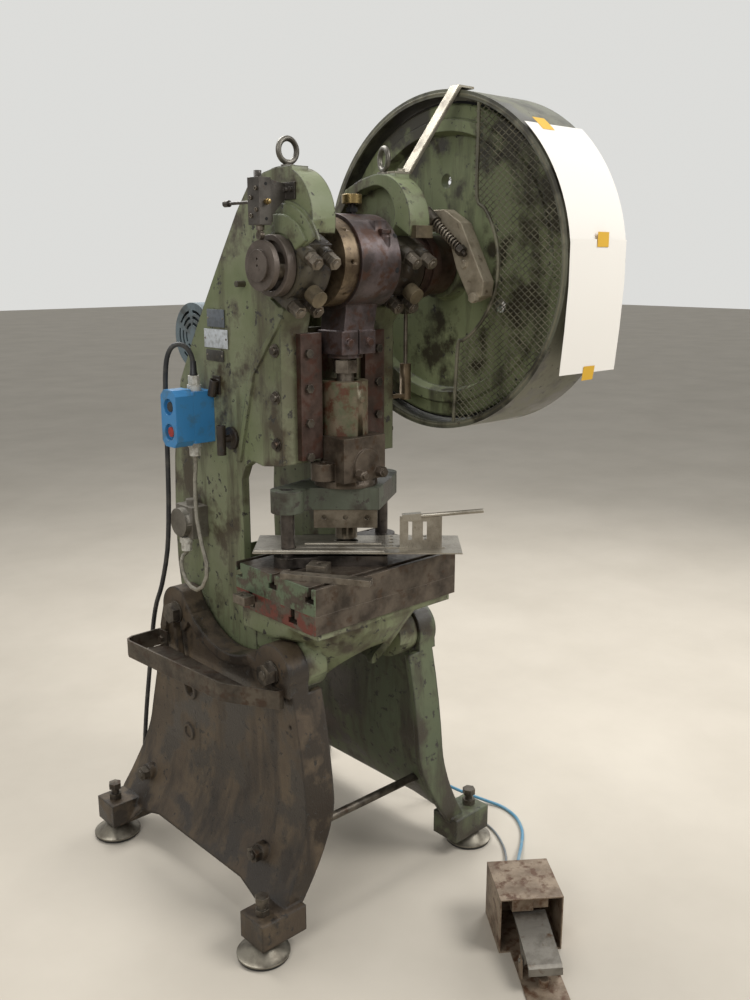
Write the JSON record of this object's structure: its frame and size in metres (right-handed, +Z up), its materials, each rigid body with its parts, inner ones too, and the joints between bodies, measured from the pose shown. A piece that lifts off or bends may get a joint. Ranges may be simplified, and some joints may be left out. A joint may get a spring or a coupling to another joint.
{
  "type": "mechanical stamping press",
  "caption": "Open-back stamping press on cast legs, with a crank-driven ram, guarded flywheel, belt motor, pillar die set, T-slot table and foot pedal.",
  "frame": {"origin": "on the floor, under the middle of the bounding box without the cords", "axes": "+Z up, the operator and the pedal on -Y, the flywheel on +X"},
  "size_m": [0.9485, 1.3547, 1.9399],
  "materials": {
    "oily_iron": "oily, worn",
    "green_iron": "worn paint",
    "dark_green": "worn paint",
    "worn_steel": "worn, oily",
    "bright_steel": "machined",
    "bronze": "aged",
    "brown_steel": "oil stained",
    "red_paint": "worn paint",
    "rod_steel": "ground, oily",
    "rust_steel": "rust stained",
    "gib_iron": "oily",
    "black_rubber": "matt",
    "blue_enamel": "gloss",
    "motor_paint": "worn paint",
    "grey_box": "cast, matt",
    "white_plastic": "matt",
    "grey_conduit": "matt",
    "belt_rubber": "matt",
    "die_steel": "oily black",
    "zinc_plate": "thin plate",
    "wheel_paint": "worn paint",
    "stop_red": "matt",
    "start_black": "matt",
    "blue_hose": "satin",
    "grey_cable": "matt",
    "black_cable": "matt"
  },
  "bodies": {
    "stand": {"left_leg": "oily_iron", "right_leg": "green_iron", "tie_rods": "worn_steel", "levelling_mounts": "bright_steel", "mount_pads": "black_rubber", "levelling_bolts": "worn_steel", "pivot_bolts": "worn_steel", "tool_tray": "oily_iron", "pedal_guard": "oily_iron", "pedal_hose": "blue_hose", "pedal_cable": "grey_cable", "supply_cable": "black_cable", "cable_coil": "black_cable"},
    "frame": {"frame_casting": "green_iron", "bearing_caps": "dark_green", "cap_studs": "bright_steel", "crank_bushes": "bronze", "lubricators": "bronze", "clamp_bolts": "worn_steel", "gibs": "gib_iron", "gib_screws": "worn_steel", "bolster_upper": "brown_steel", "bolster_lower": "red_paint", "clamp_blocks": "worn_steel", "eye_bolts": "worn_steel", "guard_band": "dark_green", "guard_mesh": "dark_green", "guard_stay": "worn_steel", "motor_body": "motor_paint", "motor_cowl": "motor_paint", "starter_box": "blue_enamel", "cable_glands": "white_plastic", "switch_box": "grey_box", "conduit": "grey_conduit", "side_sockets": "dark_green", "cam_valve": "worn_steel", "trip_cylinder": "bronze", "drive_belt": "belt_rubber", "lower_die": "die_steel", "stock_guide": "zinc_plate", "latch_pivot": "worn_steel", "latch_spring": "bright_steel"},
    "crankshaft": {"crankshaft": "bright_steel", "end_disc": "worn_steel", "eccentric_ring": "bronze", "clutch_collar": "brown_steel"},
    "rod": {"connecting_rod": "rod_steel", "rod_screw": "bright_steel"},
    "ram": {"ram_slide": "rust_steel", "shank_clamp": "worn_steel", "upper_shoe": "green_iron", "punch_block": "worn_steel"},
    "flywheel": {"flywheel": "wheel_paint"},
    "motor_pulley": {"motor_pulley": "worn_steel"},
    "latch": {"clutch_latch": "worn_steel"},
    "trip_rod": {"trip_rod": "worn_steel"},
    "stop_button": {"stop_button": "stop_red"},
    "start_button": {"start_button": "start_black"},
    "valve_plunger": {"valve_plunger": "bright_steel"},
    "treadle": {"treadle": "oily_iron"}
  },
  "joints": [
    {"name": "frame_tilt", "type": "hinge", "parent": "stand", "child": "frame", "pos_m": [-0.041, 0.01147, 0.633], "axis": [-1, 0, 0], "range_deg": [0, 10], "deforming": ["supply_cable"]},
    {"name": "crank_turn", "type": "hinge", "parent": "frame", "child": "crankshaft", "pos_m": [-0.041, 0.01947, 1.54], "axis": [1, 0, 0], "continuous": true},
    {"name": "rod_swing", "type": "hinge", "parent": "crankshaft", "child": "rod", "pos_m": [-0.021, 0.01947, 1.548], "axis": [1, 0, 0], "continuous": true},
    {"name": "ram_travel", "type": "slide", "parent": "frame", "child": "ram", "axis": [0, 0, 1], "range_m": [-0.016, 0]},
    {"name": "flywheel_spin", "type": "hinge", "parent": "frame", "child": "flywheel", "pos_m": [0.319, 0.01947, 1.54], "axis": [1, 0, 0], "continuous": true},
    {"name": "motor_spin", "type": "hinge", "parent": "frame", "child": "motor_pulley", "pos_m": [0.309, 0.56147, 1.358], "axis": [1, 0, 0], "continuous": true},
    {"name": "trip_travel", "type": "slide", "parent": "frame", "child": "trip_rod", "axis": [0, 0, 1], "range_m": [-0.012, 0]},
    {"name": "latch_swing", "type": "hinge", "parent": "frame", "child": "latch", "pos_m": [0.217, 0.00547, 1.644], "axis": [-1, 0, 0], "range_deg": [0, 6], "stiffness_Nm_per_rad": 20, "springref_deg": -11.46},
    {"name": "stop_press", "type": "slide", "parent": "frame", "child": "stop_button", "axis": [1, 0, 0], "range_m": [0, 0.005], "stiffness_N_per_m": 600, "springref_m": -0.002},
    {"name": "start_press", "type": "slide", "parent": "frame", "child": "start_button", "axis": [1, 0, 0], "range_m": [0, 0.005], "stiffness_N_per_m": 600, "springref_m": -0.002},
    {"name": "plunger_lift", "type": "slide", "parent": "frame", "child": "valve_plunger", "axis": [0, 0, 1], "range_m": [0, 0.004], "stiffness_N_per_m": 800, "springref_m": -0.004},
    {"name": "treadle_press", "type": "hinge", "parent": "stand", "child": "treadle", "pos_m": [0.02473, -0.55033, 0.038], "axis": [-0.7986, 0.6018, 0], "range_deg": [0, 8], "stiffness_Nm_per_rad": 12, "springref_deg": -6.88}
  ],
  "couplings": [
    {"joint": "rod_swing", "follows": "crank_turn", "ratio": -1},
    {"joint": "motor_spin", "follows": "flywheel_spin", "ratio": 7.4},
    {"joint": "latch_swing", "follows": "trip_travel", "rad_per_m": -8.7}
  ]
}
